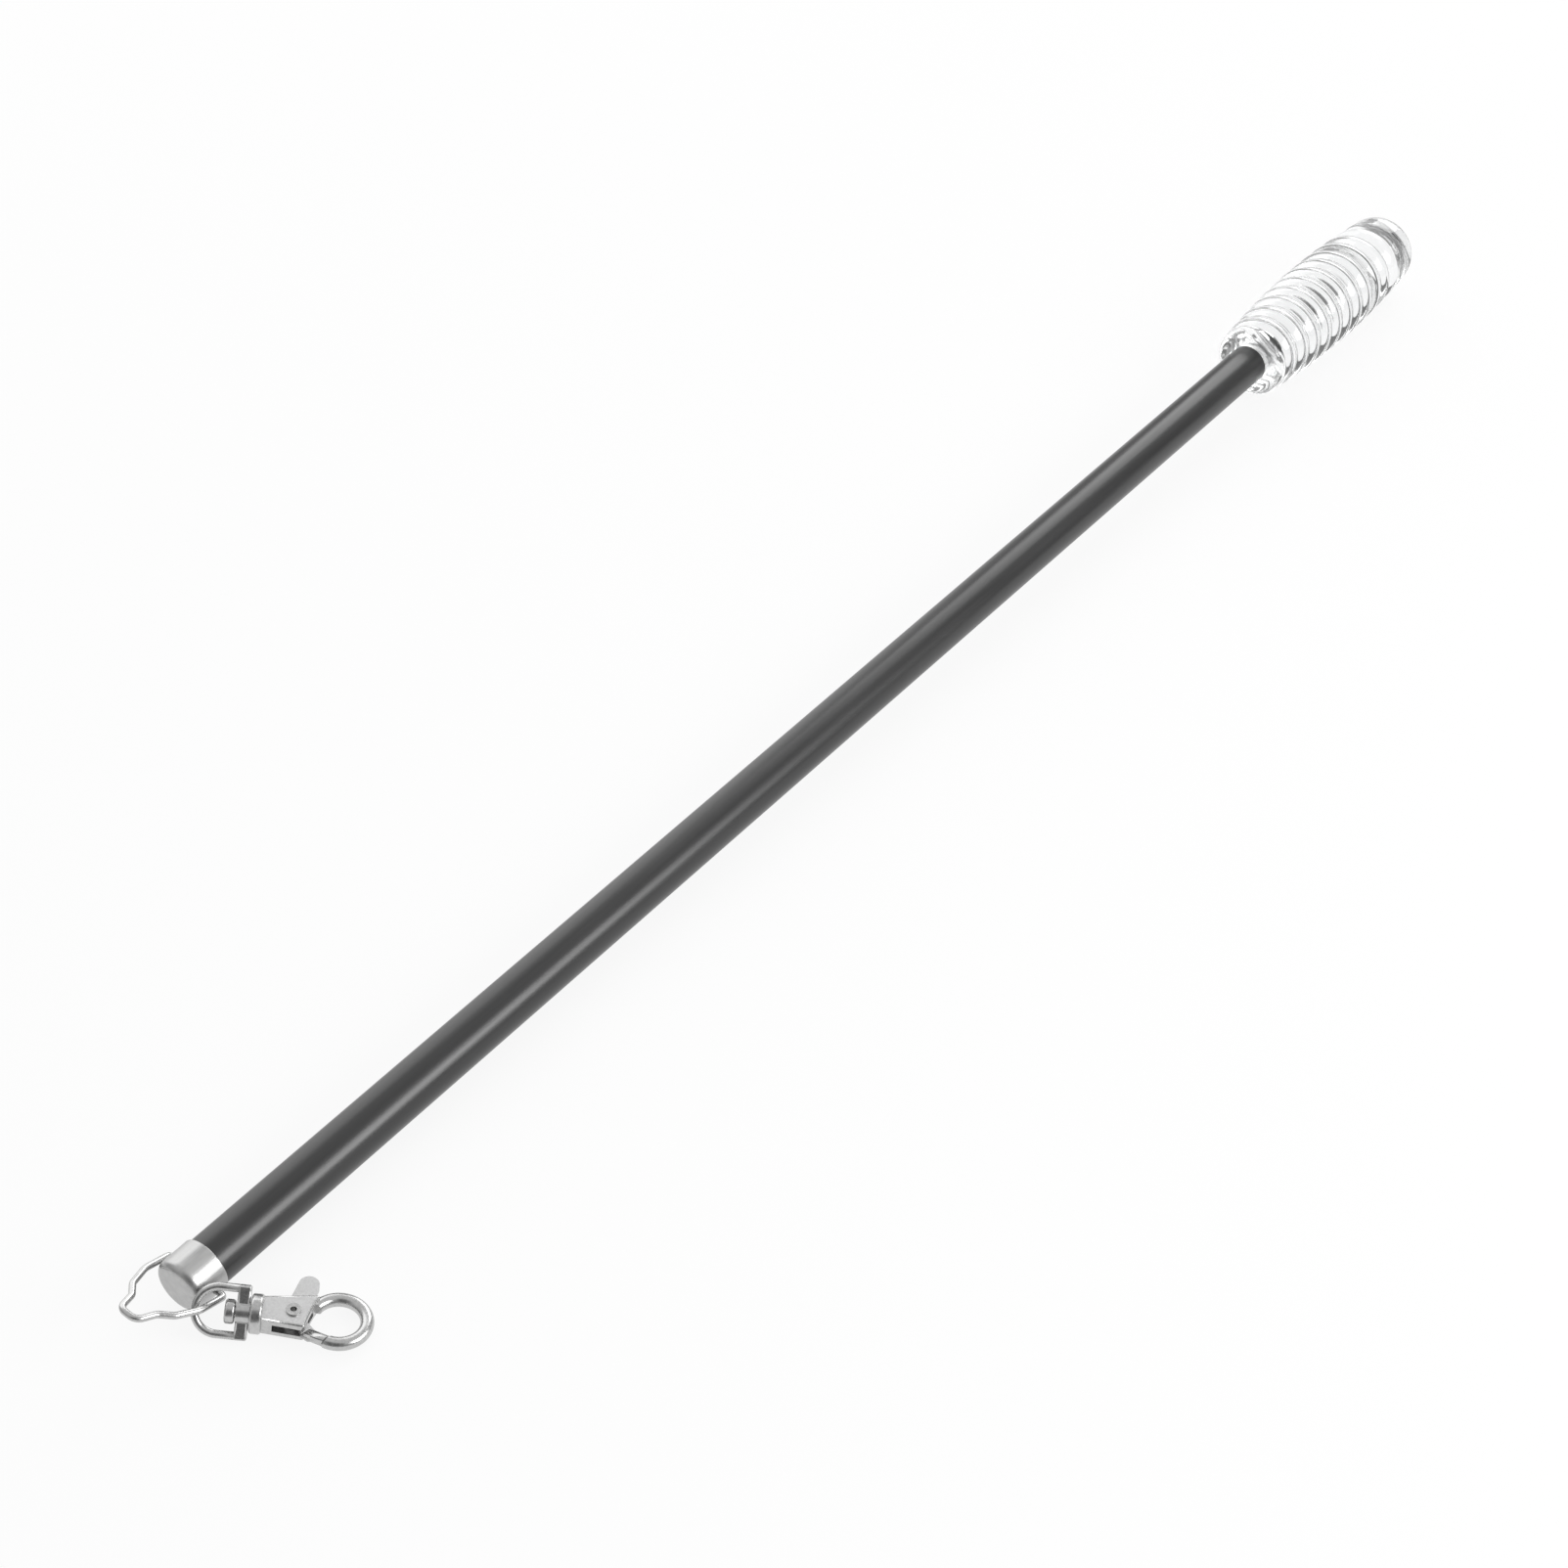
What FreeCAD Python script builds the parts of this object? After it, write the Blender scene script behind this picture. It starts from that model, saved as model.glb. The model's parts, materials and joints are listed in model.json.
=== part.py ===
# Curtain wand: a black tube with a clear ribbed grip at one end. The other end has a pressed cap
# with a wire bail, and a swivel clasp with a sprung gate hangs on the bail. It lies on a level
# floor, with the clasp to one side, as it comes to rest.
import FreeCAD, Part
import math
import os

Vec = FreeCAD.Vector
Placement = FreeCAD.Placement
Rotation = FreeCAD.Rotation
AXIS_X = Vec(1, 0, 0)
AXIS_Y = Vec(0, 1, 0)
AXIS_Z = Vec(0, 0, 1)
ORIGIN = Vec(0, 0, 0)

# Tube and its pressed cap, along the wand's axis from the cap's end face
wand_length = 555.0
rod_diameter = 12.0
rod_wall = 0.8
cap_diameter = 13.1
cap_depth = 9.0
cap_end_wall = 0.6
cap_edge_round = 2.0
cap_rim_round = 0.25
cap_fit = 0.03

# Clear grip: a barrel of beads between grooves, a smooth domed end and a blind bore for the tube
grip_length = 93.0
grip_middle_diameter = 28.0
grip_end_diameter = 22.3
groove_count = 12
groove_depth = 1.4
grip_mouth_to_groove = 4.6
grip_plain_end = 14.2
grip_mouth_round = 3.0
grip_end_round = 6.5
grip_bore_depth = 10.0
grip_fit = 0.03

# Bail: bent wire, symmetric about its middle line, with its ends in the cap's side holes
bail_wire = 1.6
bail_pivot_station = 5.4
bail_pin_length = 3.0
bail_hole_clearance = 0.05
bail_side_gap = 0.75
bail_side_slide = 0.65
bail_end_bend = 0.9
bail_straight_leg = 7.4
bail_leg_bend = 6.0
bail_shoulder_reach = 13.0
bail_shoulder_half_width = 6.3
bail_neck_reach = 15.8
bail_neck_half_width = 3.7
bail_wave_bend = 2.6
bail_tip_reach = 20.7
bail_tip_half_width = 2.3
bail_tip_bend = 2.2

# Swivel eye: a round-wire loop on a cross bar with a bored boss
eye_wire = 1.8
eye_width = 10.2
eye_straight = 5.1
eye_bar_length = 11.8
eye_bar_thickness = 2.8
eye_bar_height = 2.2
eye_bar_round = 0.5
eye_boss_diameter = 4.8
eye_bore_clearance = 0.08

# Clasp: stem with riveted head, round collar, two cheeks and an open hook ring
stem_diameter = 2.6
stem_head_diameter = 5.3
stem_head_thickness = 2.2
swivel_end_play = 0.2
collar_diameter = 8.6
collar_thickness = 2.6
collar_edge_round = 0.6
cheek_root_half_width = 3.2
cheek_tab_half_width = 4.3
cheek_tab_reach = 8.7
cheek_nib_reach = 10.5
cheek_nib_half_width = 4.25
cheek_front_reach = 11.3
cheek_thickness = 1.4
slot_width = 2.0
cheek_edge_round = 0.5
cheek_corner_round = 0.6
web_thickness = 2.3
ring_reach = 24.9
ring_bar = 3.0
ring_radius = 6.0
rivet_reach = 7.7
gate_seam_reach = 15.4
gate_seam_half_width = 5.65
seam_gap = 0.4

# Sprung lever: hub on the rivet, thumb tab on one side and gate bar on the other
lever_side_clearance = 0.1
lever_hub_diameter = 5.0
tab_length = 11.2
tab_width = 4.5
tab_angle = 75.0
tab_gap = 0.25
gate_bar = 2.6
gate_heel_half_width = 3.85
gate_arm_width = 2.4
gate_body_gap = 0.3

# Tubular rivet and hairpin spring
rivet_shank_diameter = 2.2
rivet_head_diameter = 3.3
rivet_head_height = 0.35
rivet_bore = 1.4
rivet_cheek_fit = 0.02
rivet_lever_clearance = 0.05
spring_wire = 0.45
spring_seat_gap = 0.08
spring_leg = 4.0
spring_bend = 0.8

# How the wand lies: turned about its own axis, bail raised, clasp out to the side
wand_roll = 8.0
bail_raise = 20.0
eye_station = 5.5
eye_hook_inset = 2.5
eye_hook_side = 0.5
eye_roll = 52.0
clasp_bearing = -53.0
clasp_dip = 8.9

# Sizes that follow from the ones above
rod_radius = rod_diameter / 2
cap_radius = cap_diameter / 2
cap_inner_round = cap_edge_round - cap_end_wall
rod_seat = cap_end_wall + cap_inner_round
grip_start = wand_length - grip_length
groove_pitch = (grip_length - grip_mouth_to_groove - grip_plain_end) / (groove_count - 1)
bail_half_spacing = cap_radius + bail_side_gap + bail_end_bend
bail_pin_end = cap_radius - bail_pin_length
stem_radius = stem_diameter / 2
collar_half = collar_thickness / 2
eye_bar_near = collar_half + swivel_end_play
eye_bar_far = eye_bar_near + eye_bar_thickness
eye_bar_middle = (eye_bar_near + eye_bar_far) / 2
eye_closed_end = eye_bar_middle + eye_straight + eye_width / 2
stem_head_near = eye_bar_far + swivel_end_play
cheek_half = slot_width / 2 + cheek_thickness
ring_center = ring_reach - ring_bar / 2 - ring_radius
rivet_radius = rivet_shank_diameter / 2
lever_thickness = slot_width - 2 * lever_side_clearance
web_face = collar_half + web_thickness
seam_radius = math.hypot(gate_seam_reach - rivet_reach, gate_seam_half_width)
nib_radius = math.hypot(cheek_nib_reach - rivet_reach, cheek_nib_half_width)


def grip_radius(x):
    # Barrel line over the bead tops, x from the mouth: widest half way along
    off_middle = (2 * x - grip_length) / grip_length
    return (grip_middle_diameter - (grip_middle_diameter - grip_end_diameter) * off_middle ** 2) / 2


def groove_station(number):
    return grip_mouth_to_groove + groove_pitch * number


def arc(start, middle, end):
    return Part.Arc(start, middle, end).toShape()


def line(start, end):
    return Part.LineSegment(start, end).toShape()


def rounded_path(corners, radii):
    # Straight runs through the corners, joined by tangent arcs of the given radii
    edges = []
    last = corners[0]
    for before, corner, after, radius in zip(corners, corners[1:], corners[2:], radii):
        back = (before - corner).normalize()
        ahead = (after - corner).normalize()
        half_angle = back.getAngle(ahead) / 2
        reach = radius / math.tan(half_angle)
        bisector = (back + ahead).normalize()
        middle = corner + bisector * (radius / math.sin(half_angle) - radius)
        edges.append(line(last, corner + back * reach))
        edges.append(arc(corner + back * reach, middle, corner + ahead * reach))
        last = corner + ahead * reach
    edges.append(line(last, corners[-1]))
    return Part.Wire(edges)


def wire_along(path, diameter):
    # Round wire along a path of straight runs and tangent arcs
    first = path.OrderedEdges[0]
    start = first.valueAt(first.FirstParameter)
    heading = first.tangentAt(first.FirstParameter)
    section = Part.Wire([Part.makeCircle(diameter / 2, start, heading)])
    return path.makePipeShell([section], True, False)


def prism(points, thickness):
    # Flat outline pulled to a plate, half its thickness to each side of the level plane
    outline = Part.makePolygon(points + points[:1])
    face = Part.Face(outline)
    face.translate(Vec(0, 0, -thickness / 2))
    return face.extrude(Vec(0, 0, thickness))


def round_bar(start, end, width, thickness):
    # Flat bar with round ends about its two end points
    along = (end - start).normalize()
    side = Vec(-along.y, along.x, 0) * (width / 2)
    ends = [
        line(start + side, end + side),
        arc(end + side, end + along * (width / 2), end - side),
        line(end - side, start - side),
        arc(start - side, start - along * (width / 2), start + side),
    ]
    face = Part.Face(Part.Wire(ends))
    face.translate(Vec(0, 0, -thickness / 2))
    return face.extrude(Vec(0, 0, thickness))


def upright(radius, height, x, y):
    # Cylinder across the clasp's thickness, centred on its level plane
    return Part.makeCylinder(radius, height, Vec(x, y, -height / 2), AXIS_Z)


def turned(points_and_arcs):
    # Solid of revolution about the wand's axis
    face = Part.Face(Part.Wire(points_and_arcs))
    return face.revolve(ORIGIN, AXIS_X, 360)


def make_rod():
    length = grip_start + grip_bore_depth - rod_seat
    outer = Part.makeCylinder(rod_radius, length, Vec(rod_seat, 0, 0), AXIS_X)
    inner = Part.makeCylinder(rod_radius - rod_wall, length, Vec(rod_seat, 0, 0), AXIS_X)
    return outer.cut(inner).cut(bail_hole())


def bail_hole():
    radius = bail_wire / 2 + bail_hole_clearance
    return Part.makeCylinder(radius, 2 * cap_diameter, Vec(bail_pivot_station, -cap_diameter, 0), AXIS_Y)


def make_end_cap():
    # Pressed cup: rounded inside and out at the closed end, thin wall down to the open rim
    bore = rod_radius + cap_fit
    cut_45 = 1 - math.sqrt(0.5)
    outer_mid = Vec(cap_edge_round * cut_45, cap_radius - cap_edge_round * cut_45, 0)
    rim_mid = Vec(cap_depth - cap_rim_round * cut_45, cap_radius - cap_rim_round * cut_45, 0)
    inner_mid = Vec(cap_end_wall + cap_inner_round * cut_45, bore - cap_inner_round * cut_45, 0)
    corners = [
        Vec(0, 0, 0),
        Vec(0, cap_radius - cap_edge_round, 0),
        Vec(cap_edge_round, cap_radius, 0),
        Vec(cap_depth - cap_rim_round, cap_radius, 0),
        Vec(cap_depth, cap_radius - cap_rim_round, 0),
        Vec(cap_depth, bore, 0),
        Vec(rod_seat, bore, 0),
        Vec(cap_end_wall, bore - cap_inner_round, 0),
        Vec(cap_end_wall, 0, 0),
    ]
    profile = [
        line(corners[0], corners[1]),
        arc(corners[1], outer_mid, corners[2]),
        line(corners[2], corners[3]),
        arc(corners[3], rim_mid, corners[4]),
        line(corners[4], corners[5]),
        line(corners[5], corners[6]),
        arc(corners[6], inner_mid, corners[7]),
        line(corners[7], corners[8]),
        line(corners[8], corners[0]),
    ]
    return turned(profile).cut(bail_hole())


def make_grip():
    bore = rod_radius + grip_fit
    shift = Vec(grip_start, 0, 0)

    def at(x, radius):
        return shift + Vec(x, radius, 0)

    def groove(number):
        x = groove_station(number)
        return at(x, grip_radius(x) - groove_depth)

    def crest(x):
        return at(x, grip_radius(x))

    cut_45 = 1 - math.sqrt(0.5)
    mouth_top = grip_radius(grip_mouth_round)
    mouth_mid = at(grip_mouth_round * cut_45, mouth_top - grip_mouth_round * cut_45)
    half_bead = (grip_mouth_round + groove_station(0)) / 2
    dome_start = grip_length - grip_end_round
    dome_top = grip_radius(dome_start)
    dome_mid = at(grip_length - grip_end_round * cut_45, dome_top - grip_end_round * cut_45)
    last = groove_count - 1
    last_crest = groove_station(last) + groove_pitch / 2
    quarter_drop = groove_depth / 4
    profile = [
        line(at(grip_bore_depth, 0), at(grip_bore_depth, bore)),
        line(at(grip_bore_depth, bore), at(0, bore)),
        line(at(0, bore), at(0, mouth_top - grip_mouth_round)),
        arc(at(0, mouth_top - grip_mouth_round), mouth_mid, crest(grip_mouth_round)),
        arc(crest(grip_mouth_round), at(half_bead, grip_radius(half_bead) - quarter_drop), groove(0)),
    ]
    for number in range(last):
        top = groove_station(number) + groove_pitch / 2
        profile.append(arc(groove(number), crest(top), groove(number + 1)))
    rise = groove_station(last) + groove_pitch / 4
    profile += [
        arc(groove(last), at(rise, grip_radius(rise) - quarter_drop), crest(last_crest)),
        line(crest(last_crest), crest(dome_start)),
        arc(crest(dome_start), dome_mid, at(grip_length, dome_top - grip_end_round)),
        line(at(grip_length, dome_top - grip_end_round), at(grip_length, 0)),
        line(at(grip_length, 0), at(grip_bore_depth, 0)),
    ]
    return turned(profile)


def make_bail():
    # Half outline from one pin to the tip, mirrored to the other pin
    half = [
        Vec(0, bail_pin_end, 0),
        Vec(0, bail_half_spacing, 0),
        Vec(bail_straight_leg, bail_half_spacing, 0),
        Vec(bail_shoulder_reach, bail_shoulder_half_width, 0),
        Vec(bail_neck_reach, bail_neck_half_width, 0),
    ]
    half_radii = [bail_end_bend, bail_leg_bend, bail_wave_bend, bail_wave_bend]
    mirrored = [Vec(point.x, -point.y, 0) for point in reversed(half)]
    tip = [Vec(bail_tip_reach, bail_tip_half_width, 0), Vec(bail_tip_reach, -bail_tip_half_width, 0)]
    corners = half + tip + mirrored
    radii = half_radii + [bail_tip_bend, bail_tip_bend] + half_radii[::-1]
    path = rounded_path(corners, radii)
    return wire_along(path, bail_wire)


def make_swivel_eye():
    # Loop in the level plane, stem axis along X, closed end away from the clasp
    half = eye_width / 2
    legs = -(eye_bar_middle + eye_straight)
    loop = [
        line(Vec(-eye_bar_middle, half, 0), Vec(legs, half, 0)),
        arc(Vec(legs, half, 0), Vec(legs - half, 0, 0), Vec(legs, -half, 0)),
        line(Vec(legs, -half, 0), Vec(-eye_bar_middle, -half, 0)),
    ]
    wire = wire_along(Part.Wire(loop), eye_wire)
    corner = Vec(-eye_bar_far, -eye_bar_length / 2, -eye_bar_height / 2)
    bar = Part.makeBox(eye_bar_thickness, eye_bar_length, eye_bar_height, corner)
    bar = bar.makeFillet(eye_bar_round, bar.Edges)
    boss = Part.makeCylinder(eye_boss_diameter / 2, eye_bar_thickness, Vec(-eye_bar_far, 0, 0), AXIS_X)
    bore = Part.makeCylinder(
        stem_radius + eye_bore_clearance, 3 * eye_bar_thickness, Vec(-2 * eye_bar_far, 0, 0), AXIS_X)
    return wire.fuse([bar, boss]).removeSplitter().cut(bore)


def cheek_plate():
    # Both cheeks as one thick plate with rounded edges, before the slot is cut
    root = Vec(0, cheek_root_half_width, 0)
    nib = Vec(cheek_nib_reach, -cheek_nib_half_width, 0)
    front = Vec(cheek_front_reach, 0, 0)
    ring_side = Vec(ring_center - ring_radius * math.cos(math.radians(45)),
                    ring_radius * math.sin(math.radians(45)) + ring_bar / 4, 0)
    tab_side = Vec(cheek_tab_reach, cheek_tab_half_width, 0)
    root_below = Vec(0, -cheek_root_half_width, 0)
    outline = Part.Wire([
        line(root, tab_side),
        line(tab_side, ring_side),
        arc(ring_side, front, nib),
        line(nib, root_below),
        line(root_below, root),
    ])
    face = Part.Face(outline)
    face.translate(Vec(0, 0, -cheek_half))
    plate = face.extrude(Vec(0, 0, 2 * cheek_half))
    inside_collar = collar_half
    corners = [edge for edge in plate.Edges if edge.BoundBox.ZLength > cheek_half]
    corners = [edge for edge in corners if edge.BoundBox.XMin > inside_collar]
    plate = plate.makeFillet(cheek_corner_round, corners)
    rims = [edge for edge in plate.Edges if edge.BoundBox.ZLength < cheek_edge_round / 10]
    rims = [edge for edge in rims if edge.BoundBox.XMax > inside_collar]
    return plate.makeFillet(cheek_edge_round, rims)


def hook_ring():
    # Open ring from inside the plate, round the far end, to the seam that meets the gate
    start = math.radians(150)
    end = -math.acos((gate_seam_reach - ring_center - ring_bar / 2) / ring_radius)
    middle = (start + end) / 2

    def on_ring(angle):
        return Vec(ring_center + ring_radius * math.cos(angle), ring_radius * math.sin(angle), 0)

    path = Part.Wire([arc(on_ring(start), on_ring(middle), on_ring(end))])
    ring = wire_along(path, ring_bar)
    lower_half = Part.makeBox(ring_reach, ring_reach, 2 * ring_bar, Vec(0, -ring_reach, -ring_bar))
    clear = upright(seam_radius + seam_gap / 2, 2 * ring_bar, rivet_reach, 0)
    return ring.cut(clear.common(lower_half))


def lever_slot():
    # Slot between the cheeks: open at both sides, and at the front where the gate arm swings
    angle = math.radians(tab_angle)
    along = Vec(math.cos(angle), math.sin(angle), 0)
    front = Vec(math.sin(angle), -math.cos(angle), 0) * (tab_width / 2 + tab_gap)
    rivet = Vec(rivet_reach, 0, 0)
    outside = ring_reach
    bridge = rivet + front + along * (lever_hub_diameter / 2)
    points = [
        Vec(web_face, -outside, 0),
        Vec(web_face, outside, 0),
        rivet + front + along * outside,
        bridge,
        Vec(outside, bridge.y, 0),
        Vec(outside, -outside, 0),
    ]
    reach = upright(seam_radius - ring_bar, slot_width, rivet_reach, 0)
    tab_side = Part.makeBox(outside, outside, slot_width, Vec(0, bridge.y, -slot_width / 2))
    return prism(points, slot_width).common(reach.fuse(tab_side))


def make_clasp_body():
    head = Part.makeCylinder(
        stem_head_diameter / 2, stem_head_thickness, Vec(-stem_head_near, 0, 0), -AXIS_X)
    head = head.makeFillet(collar_edge_round, rim_edges(head))
    collar = Part.makeCylinder(collar_diameter / 2, collar_thickness, Vec(-collar_half, 0, 0), AXIS_X)
    collar = collar.makeFillet(collar_edge_round, rim_edges(collar))
    stem = Part.makeCylinder(stem_radius, stem_head_near + stem_head_thickness / 2, ORIGIN, -AXIS_X)
    body = cheek_plate().fuse([hook_ring()]).cut(lever_slot())
    body = body.fuse([collar, stem, head])
    rivet_hole = upright(rivet_radius + rivet_cheek_fit, 4 * cheek_half, rivet_reach, 0)
    return body.cut(rivet_hole)


def rim_edges(disc):
    # The two round edges of a turned disc
    return [edge for edge in disc.Edges if edge.isClosed()]


def make_gate_lever():
    rivet = Vec(rivet_reach, 0, 0)
    angle = math.radians(tab_angle)
    tab_end = rivet + Vec(math.cos(angle), math.sin(angle), 0) * (tab_length - tab_width / 2)
    tab = round_bar(rivet, tab_end, tab_width, lever_thickness)
    hub = upright(lever_hub_diameter / 2, lever_thickness, rivet_reach, 0)
    heel = Vec(cheek_nib_reach, -gate_heel_half_width, 0)
    seam = Vec(gate_seam_reach, -gate_seam_half_width, 0)
    along = (seam - heel).normalize()
    gate_root = heel - along * gate_bar
    gate_tip = seam + along * gate_bar
    bar = wire_along(Part.Wire([line(gate_root, gate_tip)]), gate_bar)
    outer = upright(seam_radius - seam_gap / 2, 2 * gate_bar, rivet_reach, 0)
    inner = upright(nib_radius + gate_body_gap, 2 * gate_bar, rivet_reach, 0)
    bar = bar.common(outer.cut(inner))
    arm_end = heel + along * (gate_arm_width / 2)
    arm = round_bar(rivet, arm_end, gate_arm_width, lever_thickness)
    lever = hub.fuse([tab, arm, bar]).removeSplitter()
    hole = upright(rivet_radius + rivet_lever_clearance, 2 * gate_bar, rivet_reach, 0)
    return lever.cut(hole)


def make_rivet():
    # Tubular rivet: shank through cheeks and lever, a flat head on each cheek
    shank = upright(rivet_radius, 2 * cheek_half, rivet_reach, 0)
    heads = []
    for side in (1, -1):
        seat = Vec(rivet_reach, 0, side * cheek_half)
        heads.append(Part.makeCylinder(rivet_head_diameter / 2, rivet_head_height, seat, AXIS_Z * side))
    bore = upright(rivet_bore / 2, 4 * cheek_half, rivet_reach, 0)
    return shank.fuse(heads).removeSplitter().cut(bore)


def make_gate_spring():
    # Hairpin between the web and the back of the lever
    near = web_face + spring_seat_gap + spring_wire / 2
    far = near + 2 * spring_bend
    top = lever_hub_diameter / 2
    path = Part.Wire([
        line(Vec(near, top - spring_leg, 0), Vec(near, top, 0)),
        arc(Vec(near, top, 0), Vec(near + spring_bend, top + spring_bend, 0), Vec(far, top, 0)),
        line(Vec(far, top, 0), Vec(far - spring_bend / 2, top - 2 * spring_bend, 0)),
    ])
    return wire_along(path, spring_wire)


def wand_placement():
    # The cap's edge and the bead that stands out most touch the floor, so the axis rises to the grip
    crests = [groove_station(number) + groove_pitch / 2 for number in range(groove_count)]
    slopes = [(grip_radius(x) - cap_radius) / (grip_start + x - cap_edge_round) for x in crests]
    tilt = math.atan(max(slopes))
    height = cap_radius * math.cos(tilt) - cap_edge_round * math.sin(tilt)
    turn = Rotation(AXIS_Y, -math.degrees(tilt)) * Rotation(AXIS_X, wand_roll)
    return Placement(Vec(0, 0, height), turn)


def bail_placement():
    # X from the pivot to the tip; +Y is the side that carries the clasp
    turn = Rotation(AXIS_Z, 180) * Rotation(AXIS_Y, -bail_raise)
    return wand_placement() * Placement(Vec(bail_pivot_station, -bail_side_slide, 0), turn)


def clasp_placement(roll):
    # The eye's closed end hooks the bail's leg; roll turns a piece about the stem
    hook = bail_placement().multVec(Vec(eye_station, bail_half_spacing, 0))
    turn = Rotation(AXIS_Z, clasp_bearing) * Rotation(AXIS_Y, clasp_dip)
    eye_turn = turn * Rotation(AXIS_X, eye_roll)
    hook_in_eye = Vec(eye_hook_inset - eye_closed_end, eye_hook_side, 0)
    collar = hook - eye_turn.multVec(hook_in_eye)
    return Placement(collar, turn * Rotation(AXIS_X, roll))


def show(name, position, direction):
    print("%s pos_m [%.6f, %.6f, %.6f] axis [%.6f, %.6f, %.6f]" % (
        name, position.x / 1000, position.y / 1000, position.z / 1000,
        direction.x, direction.y, direction.z))


def main():
    wand = wand_placement()
    bail = bail_placement()
    eye = clasp_placement(eye_roll)
    clasp = clasp_placement(0)
    pieces = {
        "rod": (make_rod(), wand),
        "end_cap": (make_end_cap(), wand),
        "handle_grip": (make_grip(), wand),
        "bail": (make_bail(), bail),
        "swivel_eye": (make_swivel_eye(), eye),
        "clasp_body": (make_clasp_body(), clasp),
        "gate_lever": (make_gate_lever(), clasp),
        "rivet": (make_rivet(), clasp),
        "gate_spring": (make_gate_spring(), clasp),
    }
    for shape, place in pieces.values():
        shape.Placement = place * shape.Placement
    whole = Part.makeCompound([shape for shape, place in pieces.values()])
    box = whole.optimalBoundingBox(False)
    shift = Placement(Vec(-box.Center.x, -box.Center.y, -box.ZMin), Rotation())
    os.makedirs("parts", exist_ok=True)
    for name, (shape, place) in pieces.items():
        shape.Placement = shift * shape.Placement
        shape.exportStep("parts/%s.step" % name)
        low = shape.optimalBoundingBox(False).ZMin
        print("%s valid %s solids %d volume %.2f lowest %.3f" % (
            name, shape.isValid(), len(shape.Solids), shape.Volume, low))
    bail_frame = shift * bail
    leg_point = bail_frame.multVec(Vec(eye_station, bail_half_spacing, 0))
    wand_frame = shift * wand
    clasp_frame = shift * clasp
    show("wand_axis", wand_frame.Base, wand_frame.Rotation.multVec(AXIS_X))
    show("bail_swing", bail_frame.Base, bail_frame.Rotation.multVec(AXIS_Y))
    show("eye_swing", leg_point, bail_frame.Rotation.multVec(AXIS_X))
    show("clasp_swivel", clasp_frame.Base, clasp_frame.Rotation.multVec(AXIS_X))
    show("lever_press", clasp_frame.multVec(Vec(rivet_reach, 0, 0)), clasp_frame.Rotation.multVec(AXIS_Z))
    show("hook", clasp_frame.multVec(Vec(ring_center, 0, 0)), clasp_frame.Rotation.multVec(AXIS_Z))


main()
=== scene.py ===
import bmesh
import bpy
import json
import math
import numpy as np
from mathutils import Matrix


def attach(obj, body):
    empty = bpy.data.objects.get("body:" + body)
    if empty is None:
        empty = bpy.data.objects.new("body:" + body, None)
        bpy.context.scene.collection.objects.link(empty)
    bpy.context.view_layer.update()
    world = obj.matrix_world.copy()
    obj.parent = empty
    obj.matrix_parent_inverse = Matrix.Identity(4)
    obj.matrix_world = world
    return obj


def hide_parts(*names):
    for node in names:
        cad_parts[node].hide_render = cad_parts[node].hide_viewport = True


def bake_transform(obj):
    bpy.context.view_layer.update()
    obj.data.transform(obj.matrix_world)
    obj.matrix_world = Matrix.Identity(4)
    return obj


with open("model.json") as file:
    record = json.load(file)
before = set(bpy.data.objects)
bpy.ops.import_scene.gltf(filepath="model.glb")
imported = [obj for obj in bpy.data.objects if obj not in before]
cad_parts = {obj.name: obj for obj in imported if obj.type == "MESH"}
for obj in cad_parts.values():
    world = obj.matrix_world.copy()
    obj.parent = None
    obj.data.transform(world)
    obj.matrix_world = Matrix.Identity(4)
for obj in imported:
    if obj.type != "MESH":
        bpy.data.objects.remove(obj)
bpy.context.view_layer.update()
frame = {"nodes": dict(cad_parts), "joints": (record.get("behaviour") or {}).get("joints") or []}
scene = bpy.context.scene
scene.view_settings.view_transform = "Standard"

# Everything turned on the wand's axis is placed on this line
wandLine = {
    "start": (-0.270033, 0.012357, 0.006520),  # centre of the cap's end face
    "tilt": math.atan2(0.014787, 0.999891),  # the axis rises towards the grip
}

# Distances under which points are one point, and the digits that tell one flat's normal from another's
meshing = {"poleMerge": 1e-6, "shortEdge": 1e-7, "solidMerge": 2e-6, "normalDigits": 3}


def linked(name, data):
    thing = bpy.data.objects.new(name, data)
    scene.collection.objects.link(thing)
    return thing


def meshArray(items, field, width=1, kind=float):
    # one property of all points, edges, corners or faces of a mesh
    values = np.zeros(len(items) * width, kind)
    items.foreach_get(field, values)
    return values.reshape(-1, width) if width > 1 else values


def shadeSmooth(mesh, sharpAngle):
    mesh.shade_smooth()
    mesh.set_sharp_from_angle(angle=math.radians(sharpAngle))


def buildMesh(name, points, faces, sharpAngle):
    # one closed shell from a point grid: poles merged, normals outwards, smooth between sharp edges
    mesh = bpy.data.meshes.new(name)
    mesh.from_pydata(points.tolist(), [], faces.tolist())
    work = bmesh.new()
    work.from_mesh(mesh)
    bmesh.ops.remove_doubles(work, verts=work.verts, dist=meshing["poleMerge"])
    bmesh.ops.dissolve_degenerate(work, edges=work.edges, dist=meshing["shortEdge"])
    bmesh.ops.recalc_face_normals(work, faces=work.faces)
    work.to_mesh(mesh)
    work.free()
    shadeSmooth(mesh, sharpAngle)
    return linked(name, mesh)


def gridFaces(rows, columns, wrapRows):
    # quads between neighbouring rows; columns always wrap round
    last = rows if wrapRows else rows - 1
    i, j = np.meshgrid(np.arange(last), np.arange(columns), indexing="ij")
    i, j = i.ravel(), j.ravel()
    row, nextRow = i * columns, ((i + 1) % rows) * columns
    nextColumn = (j + 1) % columns
    return np.stack([row + j, row + nextColumn, nextRow + nextColumn, nextRow + j], axis=1)


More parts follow.
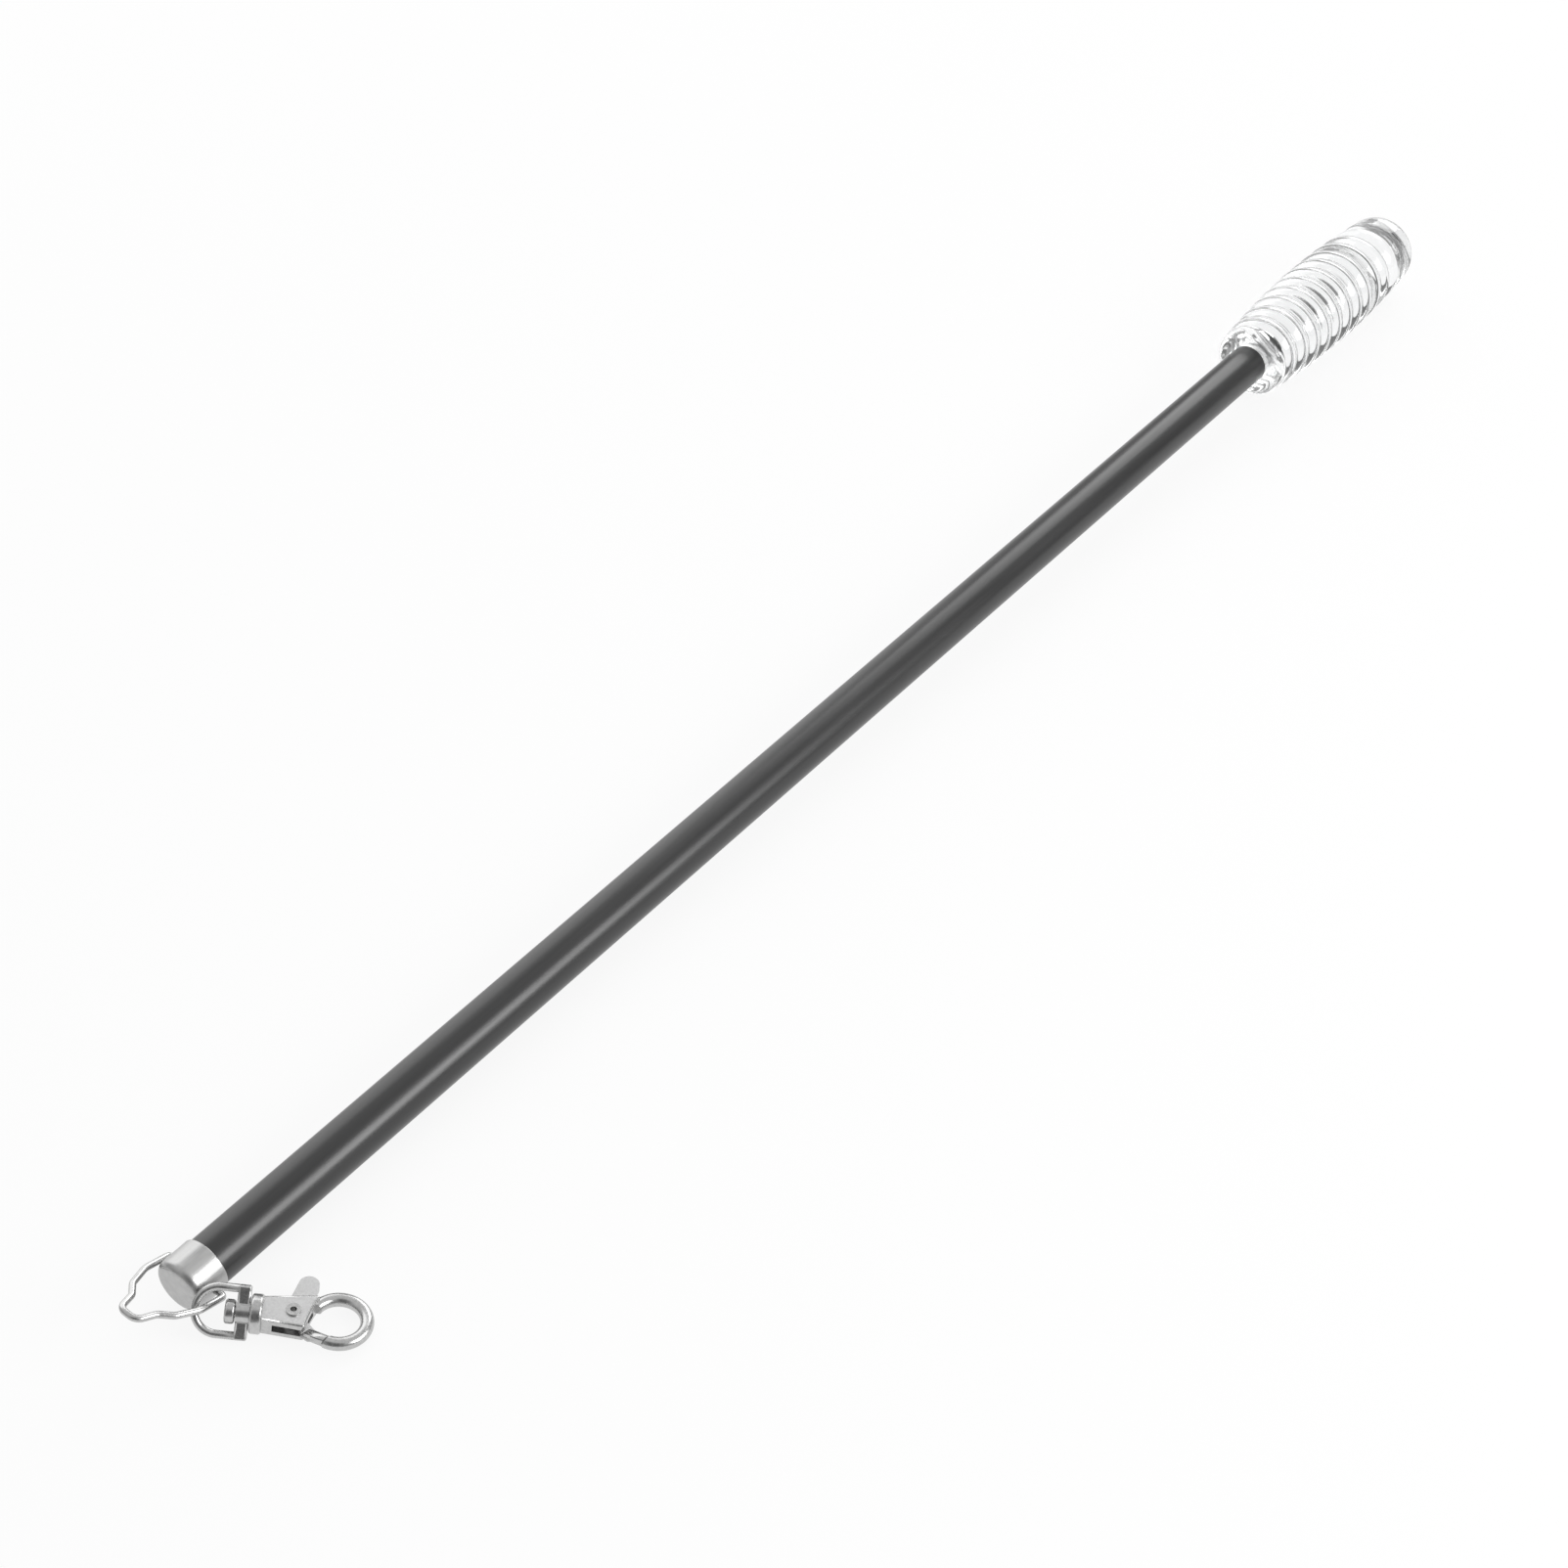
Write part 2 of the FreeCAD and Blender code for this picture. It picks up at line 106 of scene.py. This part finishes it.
def lathe(name, along, radius, around, closed, sharpAngle):
    # surface of revolution: point(s, a) = start + x(s) axis + r(s) (cos a side + sin a up)
    tilt = wandLine["tilt"]
    axis = np.array([math.cos(tilt), 0, math.sin(tilt)])
    up = np.array([-math.sin(tilt), 0, math.cos(tilt)])
    side = np.array([0.0, 1.0, 0.0])
    angle = np.linspace(0, 2 * np.pi, around, endpoint=False)
    ring = np.cos(angle)[:, None] * side + np.sin(angle)[:, None] * up
    line = np.array(wandLine["start"]) + np.asarray(along)[:, None] * axis
    points = line[:, None, :] + np.asarray(radius)[:, None, None] * ring[None, :, :]
    faces = gridFaces(len(along), around, closed)
    return buildMesh(name, points.reshape(-1, 3), faces, sharpAngle)


def quarterRound(centre, radius, fromAngle, toAngle, steps):
    # arc of a circle in the (x, r) plane of a turned profile
    angle = np.linspace(fromAngle, toAngle, steps)
    return centre[0] + radius * np.cos(angle), centre[1] + radius * np.sin(angle)


def keepFlatsLevel(mesh, wideFlat):
    # borders of wide flat faces become sharp, so that a flat is shaded with its own normal all over
    normals = meshArray(mesh.polygons, "normal", 3)
    areas = meshArray(mesh.polygons, "area")
    corners = meshArray(mesh.polygons, "loop_total", kind=np.int32)
    edgeOfCorner = meshArray(mesh.loops, "edge_index", kind=np.int32)
    sharp = meshArray(mesh.edges, "use_edge_sharp", kind=bool)
    rounded = np.round(normals, meshing["normalDigits"])
    plane = np.unique(rounded, axis=0, return_inverse=True)[1].ravel()
    wide = np.bincount(plane, areas)[plane] > wideFlat
    wideSides = np.bincount(edgeOfCorner, np.repeat(wide, corners), len(mesh.edges))
    # planes numbered a and b meet at an edge: 2 (a^2 + b^2) > (a + b)^2 unless they are one plane
    planeOfCorner = np.repeat(plane, corners)
    planeSum = np.bincount(edgeOfCorner, planeOfCorner, len(mesh.edges))
    squareSum = np.bincount(edgeOfCorner, planeOfCorner ** 2, len(mesh.edges))
    twoPlanes = 2 * squareSum > planeSum ** 2
    mesh.edges.foreach_set("use_edge_sharp", sharp | ((wideSides > 0) & twoPlanes))


def cadCopy(name, node, sharpAngle, wideFlat):
    # the node's own surface, merged and smooth shaded
    mesh = frame["nodes"][node].data.copy()
    mesh.name = name
    mesh.materials.clear()
    work = bmesh.new()
    work.from_mesh(mesh)
    bmesh.ops.remove_doubles(work, verts=work.verts, dist=meshing["solidMerge"])
    work.to_mesh(mesh)
    work.free()
    shadeSmooth(mesh, sharpAngle)
    keepFlatsLevel(mesh, wideFlat)
    return linked(name, mesh)


def shaderNodes(name):
    material = bpy.data.materials.new(name)
    material.use_nodes = True
    tree = material.node_tree
    return material, tree, tree.nodes["Principled BSDF"]


def mapRange(tree, value, fromRange, toRange):
    span = tree.nodes.new("ShaderNodeMapRange")
    sockets = ("From Min", "From Max", "To Min", "To Max")
    for socket, number in zip(sockets, (*fromRange, *toRange)):
        span.inputs[socket].default_value = number
    tree.links.new(value, span.inputs["Value"])
    return span.outputs["Result"]


def calculate(tree, operation, first, second):
    # one math node on two linked values
    node = tree.nodes.new("ShaderNodeMath")
    node.operation = operation
    tree.links.new(first, node.inputs[0])
    tree.links.new(second, node.inputs[1])
    return node.outputs["Value"]


noiseMiddle = (0.3, 0.7)  # noise values that carry a finish from its low end to its high end


def noise(tree, look):
    # noise on Object coordinates, drawn out along an axis whose stretch is under 1
    coordinates = tree.nodes.new("ShaderNodeTexCoord")
    mapping = tree.nodes.new("ShaderNodeMapping")
    mapping.inputs["Scale"].default_value = look["stretch"]
    texture = tree.nodes.new("ShaderNodeTexNoise")
    texture.inputs["Scale"].default_value = look["scale"]
    texture.inputs["Detail"].default_value = look["detail"]
    tree.links.new(coordinates.outputs["Object"], mapping.inputs["Vector"])
    tree.links.new(mapping.outputs["Vector"], texture.inputs["Vector"])
    return texture.outputs["Fac"]


def tint(tree, value, look):
    # colour between two greys, led by a noise
    ramp = tree.nodes.new("ShaderNodeValToRGB")
    ends = zip(ramp.color_ramp.elements, noiseMiddle, (look["dark"], look["light"]))
    for element, position, grey in ends:
        element.position = position
        element.color = (*grey, 1)
    tree.links.new(value, ramp.inputs["Fac"])
    return ramp.outputs["Color"]


def bump(tree, value, look):
    node = tree.nodes.new("ShaderNodeBump")
    node.inputs["Strength"].default_value = look["bump"]
    node.inputs["Distance"].default_value = look["bumpDepth"]
    tree.links.new(value, node.inputs["Height"])
    return node.outputs["Normal"]


def finish(name, look):
    # tone, roughness and a slight bump vary together with one noise
    material, tree, shader = shaderNodes(name)
    grain = noise(tree, look)
    roughness = mapRange(tree, grain, noiseMiddle, look["roughness"])
    tree.links.new(tint(tree, grain, look), shader.inputs["Base Color"])
    tree.links.new(roughness, shader.inputs["Roughness"])
    tree.links.new(bump(tree, grain, look), shader.inputs["Normal"])
    for socket, number in look["constants"].items():
        shader.inputs[socket].default_value = number
    return material


def dress(piece, material, node):
    piece.data.materials.append(material)
    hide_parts(node)


# Grip: clear moulded barrel of beads, with slight flow waves in its surface
grip = {
    "mouth": 0.462, "length": 0.093, "middleRadius": 0.014, "endRadius": 0.01115,
    "firstGroove": 0.0046, "plainEnd": 0.0142, "grooves": 12, "depth": 0.0014, "valley": 0.15,
    "mouthRound": 0.003, "endRound": 0.0065, "boreRadius": 0.00603, "boreDepth": 0.010,
    "around": 160, "alongBead": 22, "mouthSteps": 14, "endSteps": 18, "sharpAngle": 40,
    "look": {
        "scale": 60, "stretch": (1, 1, 1), "detail": 2,
        "dark": (0.95, 0.96, 0.965), "light": (0.985, 0.99, 0.99),
        "roughness": (0.05, 0.09), "bump": 0.01, "bumpDepth": 0.0002,
        "constants": {"Transmission Weight": 1, "IOR": 1.49},
    },
}


def gripBarrel(x):
    off = (2 * x - grip["length"]) / grip["length"]
    return grip["middleRadius"] - (grip["middleRadius"] - grip["endRadius"]) * off ** 2


def gripProfile():
    # r(x) = barrel - depth (1 - s), s = (sqrt((1 - u^2)^2 + v^2) - v) / (sqrt(1 + v^2) - v)
    # u is 1 in a groove and 0 on a bead's top, v rounds the bottom of a groove
    length, firstGroove, v = grip["length"], grip["firstGroove"], grip["valley"]
    mouthRound, endRound = grip["mouthRound"], grip["endRound"]
    pitch = (length - firstGroove - grip["plainEnd"]) / (grip["grooves"] - 1)
    domeStart = length - endRound
    lastTop = length - grip["plainEnd"] + pitch / 2
    x = np.linspace(mouthRound, domeStart, grip["alongBead"] * (grip["grooves"] + 1))
    u = np.abs(((x - firstGroove) / pitch) % 1.0 * 2 - 1)
    u = np.where(x < firstGroove, (x - mouthRound) / (firstGroove - mouthRound), u)
    u = np.where(x > lastTop, 0.0, u)
    s = (np.sqrt((1 - u ** 2) ** 2 + v ** 2) - v) / (math.sqrt(1 + v ** 2) - v)
    r = gripBarrel(x) - grip["depth"] * (1 - s)
    mouthCentre = (mouthRound, gripBarrel(mouthRound) - mouthRound)
    endCentre = (domeStart, gripBarrel(domeStart) - endRound)
    mouthX, mouthR = quarterRound(mouthCentre, mouthRound, np.pi, np.pi / 2, grip["mouthSteps"])
    endX, endR = quarterRound(endCentre, endRound, np.pi / 2, 0, grip["endSteps"])
    bore, boreDepth = grip["boreRadius"], grip["boreDepth"]
    along = np.concatenate([[boreDepth, boreDepth, 0], mouthX[:-1], x, endX[1:], [length]])
    radius = np.concatenate([[0, bore, bore], mouthR[:-1], r, endR[1:], [0]])
    return grip["mouth"] + along, radius


gripPiece = lathe("grip_clear", *gripProfile(), grip["around"], False, grip["sharpAngle"])
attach(gripPiece, "wand")
dress(gripPiece, finish("clearGrip", grip["look"]), "handle_grip")
print("grip built")

# Tube: outer wall, open ends, inner wall, in satin black with streaks along the drawn tube
tube = {
    "start": 0.0020, "end": 0.472, "radius": 0.006, "wall": 0.0008, "edge": 0.0001,
    "around": 128, "sharpAngle": 30,
    "look": {
        "scale": 900, "stretch": (0.02, 1, 1), "detail": 5,
        "dark": (0.006, 0.006, 0.0062), "light": (0.011, 0.011, 0.0113),
        "roughness": (0.29, 0.36), "bump": 0.05, "bumpDepth": 0.00002,
        "constants": {"Specular IOR Level": 0.75},
    },
}


def tubeProfile():
    # closed outline, once round the wall, with a small bevel at each outer rim
    start, end, edge = tube["start"], tube["end"], tube["edge"]
    outer, inner = tube["radius"], tube["radius"] - tube["wall"]
    along = [start + edge, end - edge, end, end, start, start]
    radius = [outer, outer, outer - edge, inner, inner, outer - edge]
    return along, radius


tubePiece = lathe("tube_black", *tubeProfile(), tube["around"], True, tube["sharpAngle"])
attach(tubePiece, "wand")
dress(tubePiece, finish("satinBlackTube", tube["look"]), "rod")
print("tube built")

# Small metal: the solids' own surfaces, smooth shaded, in nickel finishes with a fine grain
evenGrain = {"stretch": (1, 1, 1), "detail": 4, "bumpDepth": 0.00002, "constants": {"Metallic": 1}}
smallMetal = {
    "sharpAngle": 38, "wideFlat": 3e-6, "matteFacing": 0.9999,
    "pressed": {
        **evenGrain, "scale": 600, "stretch": (0.15, 1, 1),
        "dark": (0.42, 0.42, 0.42), "light": (0.52, 0.52, 0.515),
        "roughness": (0.32, 0.4), "bump": 0.02,
    },
    "bright": {
        **evenGrain, "scale": 1200, "dark": (0.46, 0.46, 0.46), "light": (0.56, 0.56, 0.555),
        "roughness": (0.22, 0.3), "bump": 0.02,
    },
    "cast": {
        **evenGrain, "scale": 1500, "dark": (0.47, 0.47, 0.47), "light": (0.57, 0.57, 0.565),
        "roughness": (0.2, 0.3), "bump": 0.04,
    },
    "satin": {
        **evenGrain, "scale": 2200, "dark": (0.50, 0.50, 0.50), "light": (0.57, 0.57, 0.57),
        "roughness": (0.32, 0.4), "bump": 0.1,
    },
    "dull": {
        **evenGrain, "scale": 1500, "dark": (0.35, 0.35, 0.35), "light": (0.5, 0.5, 0.5),
        "roughness": (0.3, 0.45), "bump": 0.1,
    },
}
pressedNickel = finish("satinNickelCap", smallMetal["pressed"])
brightNickel = finish("brightNickelWire", smallMetal["bright"])
castNickel = finish("castNickel", smallMetal["cast"])
satinNickel = finish("satinNickelFace", smallMetal["satin"])
plainSteel = finish("plainSpringSteel", smallMetal["dull"])
for name, node, body, material, slotName in (
    ("cap_nickel", "end_cap", "wand", pressedNickel, "cap_metal"),
    ("bail_wire", "bail", "bail", brightNickel, "wire_metal"),
    ("eye_loop", "swivel_eye", "eye", castNickel, "clasp_metal"),
    ("clasp_casting", "clasp_body", "clasp", castNickel, "clasp_metal"),
    ("clasp_rivet", "rivet", "clasp", brightNickel, "clasp_metal"),
    ("clasp_lever", "gate_lever", "lever", castNickel, "lever_metal"),
):
    piece = cadCopy(name, node, smallMetal["sharpAngle"], smallMetal["wideFlat"])
    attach(piece, body)
    dress(piece, material, node)


def jointAxis(name):
    return np.array(next(joint for joint in frame["joints"] if joint["name"] == name)["axis"])


# Hairpin spring, one leg on the web and one on the lever, built as one fixed piece in world space that
# follows neither the clasp nor the lever
springPiece = cadCopy("clasp_spring", "gate_spring", smallMetal["sharpAngle"], smallMetal["wideFlat"])
lengthwise = jointAxis("clasp_swivel")
reach = meshArray(springPiece.data.vertices, "co", 3) @ lengthwise
dress(springPiece, plainSteel, "gate_spring")
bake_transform(springPiece)

# Flat faces of the clasp's cheeks and of the thumb tab are matte
thickness = jointAxis("lever_press")
for name in ("clasp_casting", "clasp_lever"):
    mesh = bpy.data.objects[name].data
    mesh.materials.append(satinNickel)
    facingOut = np.abs(meshArray(mesh.polygons, "normal", 3) @ thickness)
    flat = facingOut > smallMetal["matteFacing"]
    mesh.polygons.foreach_set("material_index", flat.astype(np.int32))
print("clasp built")

# Floor: pale and shadowed for the light, near white to the camera, to reflections and through the grip
stage = {"size": 60.0, "floorColor": (0.8, 0.8, 0.8), "roughness": 0.9, "glow": 0.88, "white": 1}
floorPoints = np.array([[-1, -1, 0], [1, -1, 0], [1, 1, 0], [-1, 1, 0]]) * stage["size"]
floorMesh = bpy.data.meshes.new("floor")
floorMesh.from_pydata(floorPoints.tolist(), [], [[0, 1, 2, 3]])
floor = linked("floor", floorMesh)
floorMaterial, floorTree, floorShader = shaderNodes("paleFloor")
floorShader.inputs["Base Color"].default_value = (*stage["floorColor"], 1)
floorShader.inputs["Roughness"].default_value = stage["roughness"]
white = floorTree.nodes.new("ShaderNodeEmission")
white.inputs["Strength"].default_value = stage["white"]
rays = floorTree.nodes.new("ShaderNodeLightPath").outputs
through = calculate(floorTree, "MAXIMUM", rays["Is Glossy Ray"], rays["Is Transmission Ray"])
either = calculate(floorTree, "MAXIMUM", rays["Is Camera Ray"], through)
share = mapRange(floorTree, either, (0, 1), (0, stage["glow"]))
mixGlow = floorTree.nodes.new("ShaderNodeMixShader")
floorTree.links.new(share, mixGlow.inputs["Fac"])
floorTree.links.new(floorShader.outputs["BSDF"], mixGlow.inputs[1])
floorTree.links.new(white.outputs["Emission"], mixGlow.inputs[2])
floorTree.links.new(mixGlow.outputs["Shader"], floorTree.nodes["Material Output"].inputs["Surface"])
floor.data.materials.append(floorMaterial)

# World: a grey room, brighter above, dark round the camera stand and dimmer through the clear grip
sky = {
    "near": 0.28, "far": 0.30, "farTowards": (0.94, 0.34, 0.0), "nearToFar": (-0.5, 0.7),
    "above": 0.75, "aboveHeight": 0.8,
    "standTowards": (-0.622, -0.462, 0.632), "edgeToCore": (0.80, 0.96), "standDark": 0.72,
    "throughClear": 0.4,
}
world = bpy.data.worlds.new("studio")
scene.world = world
world.use_nodes = True
worldTree = world.node_tree
direction = worldTree.nodes.new("ShaderNodeTexCoord").outputs["Generated"]


def towards(heading):
    # how far the looked-at direction points along a heading, -1 to 1
    product = worldTree.nodes.new("ShaderNodeVectorMath")
    product.operation = "DOT_PRODUCT"
    product.inputs[1].default_value = heading
    worldTree.links.new(direction, product.inputs[0])
    return product.outputs["Value"]


sides = mapRange(worldTree, towards(sky["farTowards"]), sky["nearToFar"], (sky["near"], sky["far"]))
ceiling = mapRange(worldTree, towards((0, 0, 1)), (0, sky["aboveHeight"]), (0, 1))
roomMix = worldTree.nodes.new("ShaderNodeMix")  # inputs 0, 2 and 3: share, first and second number
worldTree.links.new(ceiling, roomMix.inputs[0])
worldTree.links.new(sides, roomMix.inputs[2])
roomMix.inputs[3].default_value = sky["above"]
standShade = (1, 1 - sky["standDark"])
stand = mapRange(worldTree, towards(sky["standTowards"]), sky["edgeToCore"], standShade)
shaded = calculate(worldTree, "MULTIPLY", roomMix.outputs[0], stand)
clearRays = worldTree.nodes.new("ShaderNodeLightPath").outputs["Is Transmission Ray"]
clearShade = mapRange(worldTree, clearRays, (0, 1), (1, sky["throughClear"]))
background = worldTree.nodes["Background"]
background.inputs["Color"].default_value = (1, 1, 1, 1)
strength = calculate(worldTree, "MULTIPLY", shaded, clearShade)
worldTree.links.new(strength, background.inputs["Strength"])

# Soft lights, each aimed at the wand near its cap
lights = {
    "target": (-0.2, 0, 0),
    "lamps": {
        "farTop": {"at": (1.25, 0.25, 0.75), "wide": 0.9, "high": 0.9, "watts": 7},
        "lowSide": {"at": (0.12, -0.80, 0.44), "wide": 0.7, "high": 0.42, "watts": 5.5},
        "farSide": {"at": (0.30, 1.30, 0.70), "wide": 1.6, "high": 1.5, "watts": 9},
    },
}


def placed(place, right, back):
    # lamps and cameras look along their own -z, so back is the third axis
    matrix = np.eye(4)
    matrix[:3] = np.stack([right, np.cross(back, right), back, place], axis=1)
    return Matrix(matrix.tolist())


for name, setting in lights["lamps"].items():
    data = bpy.data.lights.new(name, "AREA")
    data.energy = setting["watts"]
    data.shape = "RECTANGLE"
    data.size, data.size_y = setting["wide"], setting["high"]
    back = np.subtract(setting["at"], lights["target"])
    back = back / np.linalg.norm(back)
    right = np.cross([0, 0, 1], back)
    lamp = linked(name, data)
    lamp.matrix_world = placed(setting["at"], right / np.linalg.norm(right), back)

# Camera: place from the cap's end, turned to the photographed angle
view = {
    "fromCapEnd": (-0.2432, -0.3420, 0.4649), "right": (0.5959, -0.8031, 0.0),
    "forward": (0.6223, 0.4617, -0.6321), "sensor": 36, "lens": 64.87, "clip": (0.01, 500),
}
cameraData = bpy.data.cameras.new("camera")
cameraData.sensor_width = view["sensor"]
cameraData.lens = view["lens"]
cameraData.clip_start, cameraData.clip_end = view["clip"]
camera = linked("camera", cameraData)
cameraPlace = np.add(wandLine["start"], view["fromCapEnd"])
camera.matrix_world = placed(cameraPlace, view["right"], np.negative(view["forward"]))
scene.camera = camera
print("stage, lights and camera set")
